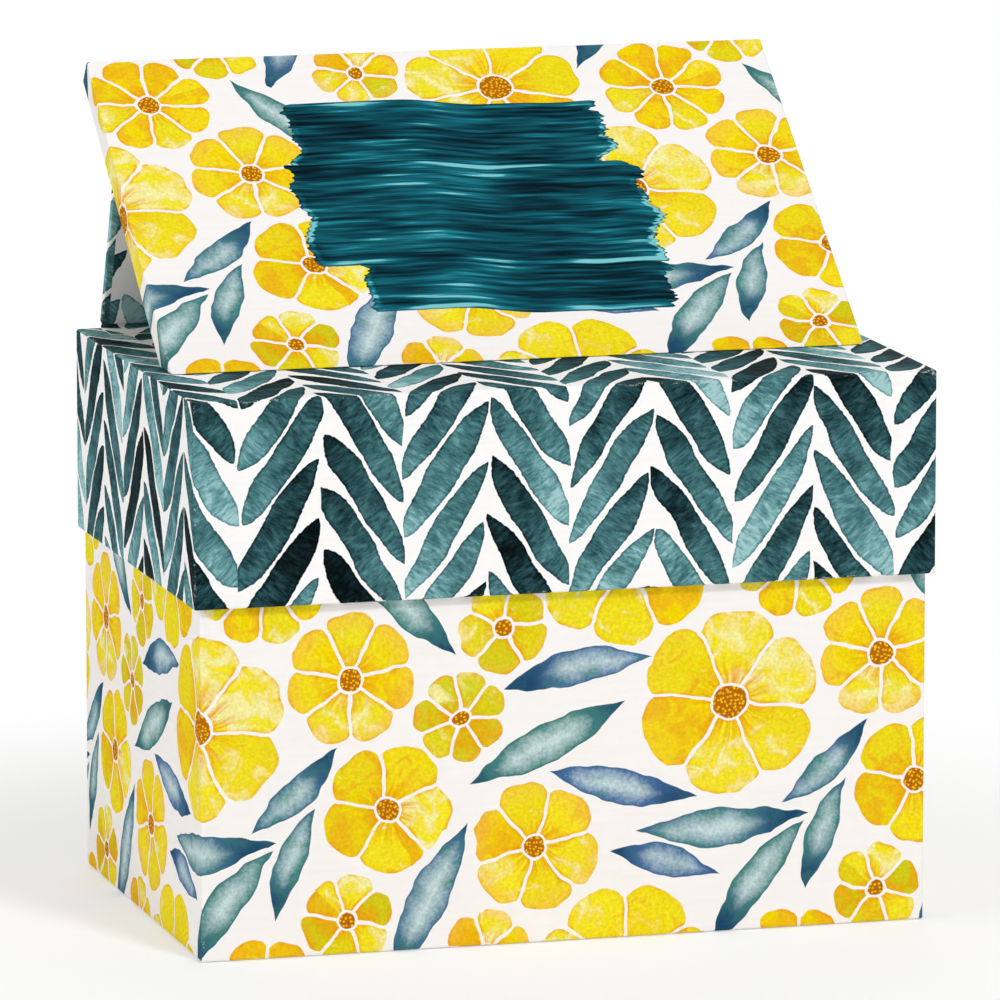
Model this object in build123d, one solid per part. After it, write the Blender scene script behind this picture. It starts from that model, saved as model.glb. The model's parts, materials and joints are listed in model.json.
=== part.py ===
from build123d import *

import math
import os

# Recipe box of wrapped paperboard, in millimetres: a tall open body, a lid with a deep skirt hinged at the
# top of the back, and a folding stand on the lid, made of a prop and a thick display panel.
# X runs to the right, Y to the back, Z up, and the origin is the middle of the base.
# The stand is drawn raised, as it is used, and the lid closed.

# Body
box_width = 168.8
box_depth = 110.4
box_height = 124.6
wall_board = 1.5
base_board = 1.5
paper = 0.2
corner_tape = 0.1
tape_leg = 12.0
tape_end_gap = 1.0
turn_in = 15.0
turn_under = 12.0
base_sheet_inset = 1.5
edge_radius = 0.4

# Lid
lid_fit = 0.25
lid_rest_gap = 0.1
skirt_board = 1.0
top_board = 1.5
skirt_height = 46.5

# Hinge of the lid, a paper strip with one crease
hinge_side_inset = 0.5
hinge_crease_offset = 0.3
crease_radius = 0.25
crease_gap = 0.1

# Folding prop of the stand, between its crease on the lid and its crease under the panel
prop_length = 38.2
prop_board = 1.5
prop_setback = 1.7
prop_side_inset = 1.0
prop_angle = 69.0
prop_end_gap = 0.6
prop_seat_gap = 0.1
prop_turn_in = 8.0
leaf_width = 10.0

# Display panel of the stand, two plies in one printed cover
panel_length = 101.0
panel_side_margin = 4.6
panel_tail = 31.5
panel_ply = 3.0
panel_gap = 0.2
panel_turn_in = 12.0
foot_gap = 0.15

# Bar magnets that hold the foot of the panel where it stands
magnet_length = 20.0
magnet_width = 6.0
magnet_thickness = 1.0
magnet_pair_width = 90.0
magnet_fit = 0.05


def slab(x0, x1, y0, y1, z0, z1):
    """A square-edged block between two corners."""
    return Pos((x0 + x1) / 2, (y0 + y1) / 2, (z0 + z1) / 2) * Box(x1 - x0, y1 - y0, z1 - z0)


def prism(profile, half_width):
    """A profile of (forward, up) points, measured from the prop's crease, drawn across the lid."""
    outline = Polyline(*[(0, crease_y - u, crease_z + v) for u, v in profile], close=True)
    return extrude(make_face(outline), amount=half_width, dir=(1, 0, 0), both=True)


def crease(y, z, half_width):
    """The rounded fold of a paper hinge, along X."""
    return Pos(0, y, z) * Rot(0, 90, 0) * Cylinder(crease_radius, 2 * half_width)


# Faces of the body: outside of the paper, outside and inside of the boards, inside of the lining
paper_x, paper_y = box_width / 2, box_depth / 2
outer_x, outer_y = paper_x - paper - corner_tape, paper_y - paper - corner_tape
inner_x, inner_y = outer_x - wall_board, outer_y - wall_board
clear_x, clear_y = inner_x - paper, inner_y - paper
board_z = 2 * paper
rim_board_z = box_height - paper
floor_board_z = board_z + base_board
floor_z = floor_board_z + paper
turn_in_z = box_height - turn_in

# Faces of the lid, from its lining outwards
lid_clear_x, lid_clear_y = paper_x + lid_fit, paper_y + lid_fit
lid_inner_x, lid_inner_y = lid_clear_x + paper, lid_clear_y + paper
lid_outer_x, lid_outer_y = lid_inner_x + skirt_board, lid_inner_y + skirt_board
lid_paper_x, lid_paper_y = lid_outer_x + corner_tape + paper, lid_outer_y + corner_tape + paper
lid_back_y = paper_y
lid_board_back_y = lid_back_y - paper
lid_lining_z = box_height + lid_rest_gap
lid_board_z = lid_lining_z + paper
lid_board_top_z = lid_board_z + top_board
lid_top_z = lid_board_top_z + paper
skirt_z = lid_top_z - skirt_height
skirt_turn_z = skirt_z + turn_in

# Crease of the lid hinge, just behind the back wall and level with the rim
hinge_y = paper_y + hinge_crease_offset
hinge_z = box_height + lid_rest_gap / 2
hinge_x = paper_x - hinge_side_inset

# Crease of the prop, on the leaf that is glued to the lid
crease_y = lid_back_y - prop_setback
crease_z = lid_top_z + paper + crease_gap / 2 + crease_radius
panel_x = lid_paper_x - panel_side_margin
prop_x = panel_x - prop_side_inset

# The stand folded flat, as (forward, up) from the crease of the prop: the prop lies on its leaf and the
# panel lies on the prop, with its own crease just past the prop's free edge.
prop_low = lid_top_z + paper + prop_seat_gap - crease_z
prop_high = prop_low + prop_board + 2 * paper
prop_near, prop_far = prop_end_gap, prop_length - prop_end_gap
fold_u = prop_length
fold_v = prop_high + crease_gap / 2
panel_thickness = 2 * panel_ply + 2 * paper
panel_low = prop_high + paper + panel_gap
panel_high = panel_low + panel_thickness
panel_top_u = fold_u - panel_tail
panel_lip_u = panel_top_u + panel_length

# The stand raised: the prop leans at prop_angle and the lip of the panel comes down onto the lid.
lean = math.radians(prop_angle)
fold_height = crease_z - lid_top_z + fold_u * math.sin(lean) + fold_v * math.cos(lean)
lip_reach = math.hypot(panel_lip_u - fold_u, panel_high - fold_v)
lip_slope = math.atan2(panel_high - fold_v, panel_lip_u - fold_u)
panel_angle = math.degrees(lip_slope + math.asin((fold_height - foot_gap) / lip_reach))
tilt = math.radians(panel_angle)
fold_y = crease_y - (fold_u * math.cos(lean) - fold_v * math.sin(lean))
fold_z = lid_top_z + fold_height
lip_y = fold_y - lip_reach * math.cos(tilt - lip_slope)
foot_length = panel_thickness / math.sin(tilt)
magnet_y = lip_y + foot_length / 2
foot_paper = paper
magnet_foot_z = lid_top_z + foot_gap + foot_paper


def raise_prop(piece):
    """Swings a piece of the folded prop up to its leaning place."""
    return piece.rotate(Axis((0, crease_y, crease_z), (1, 0, 0)), -prop_angle)


def raise_panel(piece):
    """Swings a piece of the folded panel up with the prop, then down about the crease under it."""
    return raise_prop(piece).rotate(Axis((0, fold_y, fold_z), (1, 0, 0)), prop_angle + panel_angle)


def corner_strips(x, y, corners, z0, z1):
    """Gummed tape round the outside of upright board corners."""
    strips = []
    for side_x, side_y in corners:
        leg = slab(x - tape_leg, x + corner_tape, y - tape_leg, y + corner_tape, z0, z1)
        leg -= slab(x - tape_leg, x, y - tape_leg, y, z0, z1)
        if side_x < 0:
            leg = mirror(leg, about=Plane.YZ)
        if side_y < 0:
            leg = mirror(leg, about=Plane.XZ)
        strips.append(leg)
    return Compound(children=[strip.solid() for strip in strips])


def body_boards():
    """Five greyboard panels: the front and back span the width, the sides and base fit between them."""
    return {
        "front_wall_board": slab(-outer_x, outer_x, -outer_y, -inner_y, board_z, rim_board_z),
        "back_wall_board": slab(-outer_x, outer_x, inner_y, outer_y, board_z, rim_board_z),
        "left_wall_board": slab(-outer_x, -inner_x, -inner_y, inner_y, board_z, rim_board_z),
        "right_wall_board": slab(inner_x, outer_x, -inner_y, inner_y, board_z, rim_board_z),
        "base_board": slab(-inner_x, inner_x, -inner_y, inner_y, board_z, floor_board_z),
    }


def body_wrap():
    """Printed paper round the four walls, turned over the rim and under the base."""
    core_x, core_y = paper_x - paper, paper_y - paper
    under_x, under_y = core_x - turn_under, core_y - turn_under
    wrap = slab(-paper_x, paper_x, -paper_y, paper_y, paper, box_height)
    wrap = fillet(wrap.edges().filter_by(Axis.Z), edge_radius)
    wrap -= slab(-core_x, core_x, -core_y, core_y, board_z, rim_board_z)
    wrap -= slab(-clear_x, clear_x, -clear_y, clear_y, rim_board_z, box_height)
    wrap -= slab(-under_x, under_x, -under_y, under_y, paper, board_z)
    inside = slab(-inner_x, inner_x, -inner_y, inner_y, turn_in_z, rim_board_z)
    inside -= slab(-clear_x, clear_x, -clear_y, clear_y, turn_in_z, rim_board_z)
    return wrap + inside


def body_papers():
    """Wrap, corner tape, the sheet under the base, and the linings of the walls and the floor."""
    sheet_x, sheet_y = paper_x - base_sheet_inset, paper_y - base_sheet_inset
    walls = slab(-inner_x, inner_x, -inner_y, inner_y, floor_z, turn_in_z)
    walls -= slab(-clear_x, clear_x, -clear_y, clear_y, floor_z, turn_in_z)
    corners = [(-1, -1), (1, -1), (1, 1), (-1, 1)]
    tape = corner_strips(outer_x, outer_y, corners, board_z + tape_end_gap, rim_board_z - tape_end_gap)
    return {
        "body_wrap": body_wrap(),
        "body_corner_tapes": tape,
        "base_sheet": slab(-sheet_x, sheet_x, -sheet_y, sheet_y, 0, paper),
        "wall_lining": walls,
        "floor_lining": slab(-inner_x, inner_x, -inner_y, inner_y, floor_board_z, floor_z),
    }


def hinge_strips():
    """The lid's paper hinge: a flap glued down the back wall, and the creased leaf on the lid's back edge."""
    low = slab(-hinge_x, hinge_x, paper_y, paper_y + paper, skirt_z, hinge_z - crease_radius - crease_gap)
    high = slab(-hinge_x, hinge_x, paper_y, paper_y + paper, hinge_z, lid_top_z)
    high += crease(hinge_y, hinge_z, hinge_x)
    return low, high


def magnet_row(z0, clearance=0.0):
    """Two bars side by side, at the height given, or the pockets that hold them."""
    bars = []
    for side in (-1, 1):
        x = side * magnet_pair_width / 2
        half_x, half_y = magnet_length / 2 + clearance, magnet_width / 2 + clearance
        top = z0 + magnet_thickness + clearance
        bars.append(slab(x - half_x, x + half_x, magnet_y - half_y, magnet_y + half_y, z0, top))
    return bars


def lid_boards():
    """Top board and three skirt boards. The back has no skirt, so that the lid can swing."""
    top = slab(-lid_outer_x, lid_outer_x, -lid_outer_y, lid_board_back_y, lid_board_z, lid_board_top_z)
    for pocket in magnet_row(lid_board_top_z - magnet_thickness - magnet_fit, magnet_fit):
        top -= pocket
    low = skirt_z + paper
    side = slab(lid_inner_x, lid_outer_x, -lid_inner_y, lid_board_back_y, low, lid_board_z)
    return {
        "lid_top_board": top,
        "lid_front_board": slab(-lid_outer_x, lid_outer_x, -lid_outer_y, -lid_inner_y, low, lid_board_z),
        "lid_left_board": mirror(side, about=Plane.YZ),
        "lid_right_board": side,
    }


def lid_wrap():
    """Printed paper over the top and the skirt, turned in round the skirt's lower and back edges."""
    core_x, core_y = lid_paper_x - paper, lid_paper_y - paper
    low = skirt_z + paper
    wrap = slab(-lid_paper_x, lid_paper_x, -lid_paper_y, lid_back_y, skirt_z, lid_top_z)
    front_uprights = wrap.edges().filter_by(Axis.Z).group_by(Axis.Y)[0]
    wrap = fillet(front_uprights + wrap.faces().sort_by(Axis.Z)[-1].edges(), edge_radius)
    wrap -= slab(-core_x, core_x, -core_y, lid_board_back_y, lid_board_z, lid_board_top_z)
    skirt = slab(-core_x, core_x, -core_y, lid_board_back_y, low, lid_board_z)
    skirt -= slab(-lid_inner_x, lid_inner_x, -lid_inner_y, lid_board_back_y, low, lid_board_z)
    wrap -= skirt
    wrap -= slab(-lid_clear_x, lid_clear_x, -lid_clear_y, lid_back_y, skirt_z, skirt_turn_z)
    return wrap - slab(-lid_inner_x, lid_inner_x, -lid_inner_y, lid_back_y, skirt_turn_z, lid_board_z)


def lid_papers():
    """Wrap, corner tape, linings, and the leaf of the prop's hinge that is glued to the top."""
    lining_top = lid_lining_z
    skirt = slab(-lid_inner_x, lid_inner_x, -lid_inner_y, lid_back_y, skirt_turn_z, lining_top)
    skirt -= slab(-lid_clear_x, lid_clear_x, -lid_clear_y, lid_back_y, skirt_turn_z, lining_top)
    corners = [(-1, -1), (1, -1)]
    tape_low, tape_high = skirt_z + paper + tape_end_gap, lid_board_z - tape_end_gap
    leaf_back, leaf_front = crease_y + crease_radius, crease_y - leaf_width
    return {
        "lid_wrap": lid_wrap(),
        "lid_corner_tapes": corner_strips(lid_outer_x, lid_outer_y, corners, tape_low, tape_high),
        "lid_skirt_lining": skirt,
        "lid_top_lining": slab(
            -lid_inner_x, lid_inner_x, -lid_inner_y, lid_back_y, lid_lining_z, lid_board_z
        ),
        "prop_hinge_leaf": slab(-prop_x, prop_x, leaf_front, leaf_back, lid_top_z, lid_top_z + paper),
    }


def magnets():
    """Bars let into the lid's top board, and bars in the foot of the panel, right above them."""
    lid_bars = magnet_row(lid_board_top_z - magnet_thickness)
    foot_bars = magnet_row(magnet_foot_z)
    return {
        "lid_magnets": Compound(children=[bar.solid() for bar in lid_bars]),
        "foot_magnets": Compound(children=[bar.solid() for bar in foot_bars]),
    }


def flat_block(u0, u1, v0, v1, half_width):
    """A block of the folded stand, from forward and up distances."""
    return prism([(u0, v0), (u1, v0), (u1, v1), (u0, v1)], half_width)


def prop_pieces():
    """The prop: a board in a paper cover with a crease at each long edge, and a backing sheet."""
    board = flat_block(prop_near + paper, prop_far - paper, prop_low + paper, prop_high - paper, prop_x - paper)
    backing = flat_block(
        prop_near + prop_turn_in,
        prop_far - prop_turn_in,
        prop_high - paper,
        prop_high,
        prop_x - prop_turn_in,
    )
    cover = flat_block(prop_near, prop_far, prop_low, prop_high, prop_x) - board - backing
    low_web = flat_block(0, prop_near, -paper / 2, paper / 2, prop_x)
    high_web = flat_block(prop_far, fold_u, prop_high - paper, prop_high, prop_x)
    cover += low_web + crease(crease_y, crease_z, prop_x)
    cover += high_web + crease(crease_y - fold_u, crease_z + fold_v, prop_x)
    pieces = {"prop_board": board, "prop_backing": backing, "prop_cover": cover}
    return {name: raise_prop(piece) for name, piece in pieces.items()}


def panel_edge(v, inset):
    """How far forward the slanted foot of the folded panel is at height v, less an inset."""
    return panel_lip_u - (panel_high - v) / math.tan(tilt) - inset / math.sin(tilt)


def panel_block(v0, v1, inset, half_width):
    """A layer of the folded panel, with the foot's slant at its front edge."""
    back_u = panel_top_u + inset
    corners = [(back_u, v0), (panel_edge(v0, inset), v0), (panel_edge(v1, inset), v1), (back_u, v1)]
    return prism(corners, half_width)


def panel_pieces():
    """The panel: two plies in a printed cover, its back lining, and the leaf that joins it to the prop."""
    middle = (panel_low + panel_high) / 2
    front_ply = panel_block(middle, panel_high - paper, paper, panel_x - paper)
    back_ply = panel_block(panel_low + paper, middle, paper, panel_x - paper)
    heel_u = panel_edge(panel_low, 0) - panel_turn_in
    lining = flat_block(
        panel_top_u + panel_turn_in, heel_u, panel_low, panel_low + paper, panel_x - panel_turn_in
    )
    cover = panel_block(panel_low, panel_high, 0, panel_x)
    cover = fillet(cover.edges(), edge_radius) - front_ply - back_ply - lining
    leaf_end = fold_u - crease_radius - crease_gap
    leaf = flat_block(leaf_end - leaf_width, leaf_end, panel_low - paper, panel_low, prop_x)
    pieces = {
        "panel_front_ply": front_ply,
        "panel_back_ply": back_ply,
        "panel_cover": cover,
        "panel_back_lining": lining,
        "panel_fold_leaf": leaf,
    }
    raised = {name: raise_panel(piece) for name, piece in pieces.items()}
    for pocket in magnet_row(magnet_foot_z, magnet_fit):
        raised["panel_front_ply"] -= pocket
        raised["panel_back_ply"] -= pocket
    return raised


def all_pieces():
    """Every piece of the box by its name."""
    pieces = {**body_boards(), **body_papers(), **lid_boards(), **lid_papers()}
    pieces["hinge_strip_lower"], pieces["hinge_strip_upper"] = hinge_strips()
    pieces.update(magnets())
    pieces.update(prop_pieces())
    pieces.update(panel_pieces())
    return pieces


os.makedirs("parts", exist_ok=True)
for piece_name, piece in all_pieces().items():
    export_step(piece, f"parts/{piece_name}.step")

print("panel angle", round(panel_angle, 3), "lip y", round(lip_y, 2), "lid top", round(lid_top_z, 2))
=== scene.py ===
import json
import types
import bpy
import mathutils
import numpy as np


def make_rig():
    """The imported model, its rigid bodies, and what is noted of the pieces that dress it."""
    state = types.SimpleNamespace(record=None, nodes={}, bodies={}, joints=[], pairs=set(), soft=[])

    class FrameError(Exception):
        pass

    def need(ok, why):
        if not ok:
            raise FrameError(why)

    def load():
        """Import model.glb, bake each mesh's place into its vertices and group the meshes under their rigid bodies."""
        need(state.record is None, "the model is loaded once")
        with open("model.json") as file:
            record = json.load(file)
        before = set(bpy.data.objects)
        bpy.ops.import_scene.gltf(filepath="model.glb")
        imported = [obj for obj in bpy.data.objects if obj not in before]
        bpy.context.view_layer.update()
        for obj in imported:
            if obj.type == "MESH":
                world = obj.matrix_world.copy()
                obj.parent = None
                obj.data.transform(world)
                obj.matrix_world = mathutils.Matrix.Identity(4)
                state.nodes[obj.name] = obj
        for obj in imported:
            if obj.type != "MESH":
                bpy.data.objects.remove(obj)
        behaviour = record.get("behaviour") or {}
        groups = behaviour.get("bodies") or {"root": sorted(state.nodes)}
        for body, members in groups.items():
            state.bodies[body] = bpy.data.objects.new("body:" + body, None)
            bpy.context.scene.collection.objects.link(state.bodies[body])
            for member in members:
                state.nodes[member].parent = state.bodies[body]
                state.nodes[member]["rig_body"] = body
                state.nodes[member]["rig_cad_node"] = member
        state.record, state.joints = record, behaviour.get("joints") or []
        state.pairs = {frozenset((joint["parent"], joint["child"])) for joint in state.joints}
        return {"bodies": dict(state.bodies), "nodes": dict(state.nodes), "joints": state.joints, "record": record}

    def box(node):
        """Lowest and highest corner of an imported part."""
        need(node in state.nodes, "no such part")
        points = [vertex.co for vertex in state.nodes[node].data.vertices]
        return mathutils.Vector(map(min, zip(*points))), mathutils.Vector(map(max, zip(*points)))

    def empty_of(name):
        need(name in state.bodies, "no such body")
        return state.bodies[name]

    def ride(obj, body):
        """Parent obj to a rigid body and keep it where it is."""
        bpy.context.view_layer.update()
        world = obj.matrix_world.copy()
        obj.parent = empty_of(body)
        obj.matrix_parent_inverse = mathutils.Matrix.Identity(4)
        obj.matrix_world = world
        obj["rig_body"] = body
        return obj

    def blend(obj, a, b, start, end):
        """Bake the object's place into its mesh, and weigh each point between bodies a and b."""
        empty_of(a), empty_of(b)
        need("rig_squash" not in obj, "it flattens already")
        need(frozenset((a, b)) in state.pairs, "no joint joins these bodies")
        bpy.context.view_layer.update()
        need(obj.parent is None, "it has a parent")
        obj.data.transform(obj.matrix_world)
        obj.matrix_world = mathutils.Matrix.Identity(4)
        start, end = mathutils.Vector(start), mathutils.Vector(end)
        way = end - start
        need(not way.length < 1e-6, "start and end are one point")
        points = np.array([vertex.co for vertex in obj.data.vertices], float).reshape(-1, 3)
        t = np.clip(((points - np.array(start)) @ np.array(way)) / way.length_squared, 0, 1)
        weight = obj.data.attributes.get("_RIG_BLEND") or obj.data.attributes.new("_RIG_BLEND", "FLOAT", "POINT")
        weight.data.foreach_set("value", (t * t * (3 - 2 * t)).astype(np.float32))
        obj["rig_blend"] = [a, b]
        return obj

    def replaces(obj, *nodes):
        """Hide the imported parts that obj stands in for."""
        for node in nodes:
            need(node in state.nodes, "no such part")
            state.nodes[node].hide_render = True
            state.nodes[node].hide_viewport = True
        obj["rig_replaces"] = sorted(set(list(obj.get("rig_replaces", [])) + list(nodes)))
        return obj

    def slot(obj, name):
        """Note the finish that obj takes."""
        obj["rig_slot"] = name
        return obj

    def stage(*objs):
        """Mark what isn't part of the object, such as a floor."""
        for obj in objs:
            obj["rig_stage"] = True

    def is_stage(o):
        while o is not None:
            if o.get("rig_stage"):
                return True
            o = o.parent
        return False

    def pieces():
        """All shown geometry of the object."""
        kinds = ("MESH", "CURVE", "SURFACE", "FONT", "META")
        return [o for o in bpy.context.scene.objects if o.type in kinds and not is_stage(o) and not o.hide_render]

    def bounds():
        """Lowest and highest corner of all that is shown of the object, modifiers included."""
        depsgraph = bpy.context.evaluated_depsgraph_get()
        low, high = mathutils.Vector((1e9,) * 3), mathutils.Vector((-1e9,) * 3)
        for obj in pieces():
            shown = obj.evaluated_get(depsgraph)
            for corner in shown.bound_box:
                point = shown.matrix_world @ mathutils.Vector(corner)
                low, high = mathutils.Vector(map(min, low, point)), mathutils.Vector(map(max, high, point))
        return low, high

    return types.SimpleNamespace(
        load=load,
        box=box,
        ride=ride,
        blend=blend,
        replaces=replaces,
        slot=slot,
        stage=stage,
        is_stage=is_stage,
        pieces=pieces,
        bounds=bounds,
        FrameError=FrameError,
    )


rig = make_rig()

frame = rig.load()

import json
import math
import random
from functools import partial

import bmesh
import bpy
from mathutils import Matrix, Vector

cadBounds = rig.bounds()
scene = bpy.context.scene
mm = 0.001
jointRange = {joint["name"]: joint["range_deg"][1] for joint in frame["joints"]}
jointPlace = {joint["name"]: [c / mm for c in joint["pos_m"]] for joint in frame["joints"]}  # in mm

# lengths are in mm, here and in every dictionary but the studio's
paper = {
    "thickness": 0.2,
    "foldRow": 1.6,  # a row of vertices this far from each fold keeps the wear to the fold
    "foldWear": 0.7,  # how far from a fold the print is worn
    "creaseWear": 0.6,  # and how far from the crease of a strip
}
touch = 0.01  # places nearer to each other than this are the same
facing = 0.7  # a face looks along an axis when its normal has more of it than this


# nodes and colours

def srgb(code):
    channels = [int(code[i:i + 2], 16) / 255 for i in (1, 3, 5)]
    return [c / 12.92 if c <= 0.04045 else ((c + 0.055) / 1.055) ** 2.4 for c in channels] + [1.0]


mainSetting = {  # what the second word of a node's kind sets, as in "Math ADD"
    "Math": "operation", "VectorMath": "operation", "MapRange": "interpolation_type", "Mix": "data_type",
    "TexNoise": "noise_dimensions", "TexVoronoi": "voronoi_dimensions", "VectorRotate": "rotation_type",
}


def addNode(tree, kind, inputs=(), stops=None, **settings):
    # an input is a value, a socket, or a node, for the output that holds its result
    kind, _, choice = kind.partition(" ")
    node = tree.nodes.new(kind if kind.startswith("Node") else "ShaderNode" + kind)
    if choice:
        settings[mainSetting[kind]] = choice
    for name, value in settings.items():
        setattr(node, name, value)
    for socket, value in inputs.items() if isinstance(inputs, dict) else enumerate(inputs):
        if isinstance(value, bpy.types.Node):
            mixed = {"VECTOR": 1, "RGBA": 2}.get(getattr(value, "data_type", ""), 0)
            value = value.outputs[1 if getattr(value, "operation", "") == "LENGTH" else mixed]
        if isinstance(value, bpy.types.NodeSocket):
            tree.links.new(value, node.inputs[socket])
        elif value is not None:
            node.inputs[socket].default_value = value
    for i, (position, code) in enumerate((stops or {}).items()):  # a colour ramp starts with two steps
        steps = node.color_ramp.elements
        step = steps[i] if i < 2 else steps.new(position)
        step.position, step.color = position, srgb(code)
    return node


def layWashes(add, base, *washes):
    # paints washes over a base, each by its own share; a colour is a hex value or comes from nodes
    base = srgb(base) if isinstance(base, str) else base
    for share, colour in washes:
        colour = srgb(colour) if isinstance(colour, str) else colour
        base = add("Mix RGBA", {0: share, 6: base, 7: colour})
    return base


def newPrint(name):
    # a node group that takes a place on the flat sheet and gives its colour and how far ink covers it
    tree = bpy.data.node_groups.new(name, "ShaderNodeTree")
    tree.interface.new_socket("Place", in_out="INPUT", socket_type="NodeSocketVector")
    tree.interface.new_socket("Colour", in_out="OUTPUT", socket_type="NodeSocketColor")
    tree.interface.new_socket("Ink", in_out="OUTPUT", socket_type="NodeSocketFloat")
    add = partial(addNode, tree)
    return tree, add, add("NodeGroupInput")


def newMaterial(name):
    material = bpy.data.materials.new(name)
    material.use_nodes = True
    material.node_tree.nodes.clear()
    return material, partial(addNode, material.node_tree)


# sheets of paper

def boxCorners(node):
    low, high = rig.box(node)
    return low / mm, high / mm


def startBlock(low, high):
    bm = bmesh.new()
    bmesh.ops.create_cube(bm, size=1.0)
    bmesh.ops.scale(bm, vec=Vector(high) - Vector(low), verts=bm.verts)
    bmesh.ops.translate(bm, vec=(Vector(high) + Vector(low)) / 2, verts=bm.verts)
    return bm


def faceTowards(bm, direction):
    way = Vector(direction)
    return max(bm.faces, key=lambda face: face.calc_center_median().dot(way) + face.normal.dot(way))


def edgesWhere(bm, test):
    return [edge for edge in bm.edges if all(test(vert.co) for vert in edge.verts)]


def extrudeEdges(bm, edges):
    # gives the new vertices and the new edges
    made = bmesh.ops.extrude_edge_only(bm, edges=edges)["geom"]
    kinds = (bmesh.types.BMVert, bmesh.types.BMEdge)
    return [[item for item in made if isinstance(item, kind)] for kind in kinds]


def openFace(bm, face, margin):
    # leaves only a margin of the face, and gives the edges of the opening
    bmesh.ops.inset_region(bm, faces=[face], thickness=margin, use_even_offset=True)
    opening = face.edges[:]
    bmesh.ops.delete(bm, geom=[face], context="FACES_ONLY")
    return opening


def roundFolds(bm, radius, segments=3, sharper=0.6):
    folds = [edge for edge in bm.edges if len(edge.link_faces) == 2 and edge.calc_face_angle(0) > sharper]
    bmesh.ops.bevel(bm, geom=folds, offset=radius, offset_type="OFFSET", segments=segments, profile=0.5,
                    affect="EDGES", material=-1, clamp_overlap=True)


def cutAcross(bm, axis, places):
    normal = Vector((axis == "x", axis == "y", axis == "z"))
    for place in places:
        geometry = bm.verts[:] + bm.edges[:] + bm.faces[:]
        bmesh.ops.bisect_plane(bm, geom=geometry, plane_co=normal * place, plane_no=normal)


def cutBesideFolds(bm, low, high):
    near = paper["foldRow"]
    for axis, start, end in zip("xyz", low, high):
        if end - start > 3 * near:
            cutAcross(bm, axis, (start + near, end - near))


def onFold(co, low, high):
    # a fold lies where two sides of the box round the sheet meet
    return sum(min(c - a, b - c) < paper["foldWear"] for a, c, b in zip(low, co, high)) > 1


def markPrint(bm, unwrap, isWorn):
    # the sheet's own flat coordinates in millimetres, and a value that is 1 along its folds
    printMap = bm.loops.layers.uv.new("printMm")
    wear = bm.verts.layers.float.new("wear")
    bm.normal_update()
    for vert in bm.verts:
        vert[wear] = 1.0 if isWorn(vert.co) else 0.0
    for face in bm.faces:
        centre, normal = face.calc_center_median(), face.normal.copy()
        for loop in face.loops:
            loop[printMap].uv = unwrap(loop.vert.co, centre, normal)


def newPiece(name, bm, body, material, replaced, slot, isSheet=True, place=Matrix.Scale(mm, 4)):
    bmesh.ops.transform(bm, matrix=place, verts=bm.verts)
    if place.determinant() < 0:  # a mirrored frame turns the sheet inside out
        bmesh.ops.reverse_faces(bm, faces=bm.faces)
    for face in bm.faces:
        face.smooth = True
    mesh = bpy.data.meshes.new(name)
    bm.to_mesh(mesh)
    bm.free()
    mesh.materials.append(material)
    piece = bpy.data.objects.new(name, mesh)
    scene.collection.objects.link(piece)
    if isSheet:
        mesh.materials.append(cutPaper)
        solidify = piece.modifiers.new("paperThickness", "SOLIDIFY")
        solidify.thickness = paper["thickness"] * mm
        solidify.offset = -1
        solidify.use_even_offset = True
        solidify.material_offset_rim = 1
    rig.replaces(piece, *replaced)
    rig.slot(piece, slot)
    if body:
        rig.ride(piece, body)
    return piece


# blossoms and leaves, scattered over a repeat and painted in watercolour

blossomPrint = {
    "tile": (124.0, 96.0),  # the repeat, width by height
    "seed": 33,
    "blossoms": {20.5: 2, 14.6: 4, 10.3: 4},  # radius: how many
    "leaves": {(19.5, 6.2): 3, (17.0, 5.6): 4, (13.0, 4.8): 3},  # half length, half width: how many
    "leastGap": 1.8,
    "shakes": 350,  # rounds in which crowded motifs are thrown aside
    "throw": (18.0, 0.4),  # how far, in the first round and in the last
    "turnPerThrow": 0.08,  # in radians for each millimetre
    "drawnLarger": 1.045,  # how much larger a motif is drawn than it was spaced
    "petals": (5, 6, 7, 8),  # the last number only on blossoms with a radius over manyFrom
    "manyFrom": 12.0,
    "petalGap": 0.3,  # half the white gap between two petals
    "petalCorner": 0.3,
    "eyeRadius": 0.19,  # as a share of the blossom's
    "eyeRing": 0.22,  # half the white ring round the eye
    "eyeDotsPerMm": 1.15,
    "leafBend": 0.3,  # as a share of the leaf's half width
    "inkEdge": 0.14,  # how soft the edge of a wash is
    "leafEdge": 0.13,
    "wander": 1.9,  # the painted edge wanders by up to about a quarter of this
    "wandersPerMm": 0.15,
    "cloudsPerMm": 0.2,
    "grainsPerMm": 1.2,  # real grains are finer, but would not show
    "lightYellow": "#f8e82a",
    "fullYellow": "#f5d600",
    "amber": "#ec9a06",
    "peach": "#f6bd4c",
    "lime": "#c2c61e",
    "palePatch": "#f7f0a4",
    "eye": "#b8690c",
    "eyeDots": "#f3c21c",
    "leafBlue": "#4c70a6",
    "leafTeal": "#4a8782",
    "leafTip": "#1d4767",
    "leafPale": "#c6dbdc",
}


def discsOf(x, y, halfLength, halfWidth, turn):
    # the discs that a motif fills: one for a blossom, a row that thins to both ends for a leaf
    if halfLength == halfWidth:
        return [(x, y, halfLength)]
    shares = (-0.92, -0.6, -0.2, 0.2, 0.6, 0.92)
    return [(x + share * halfLength * math.cos(turn), y + share * halfLength * math.sin(turn),
             halfWidth * (1.1 - 1.05 * abs(share))) for share in shares]


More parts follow.
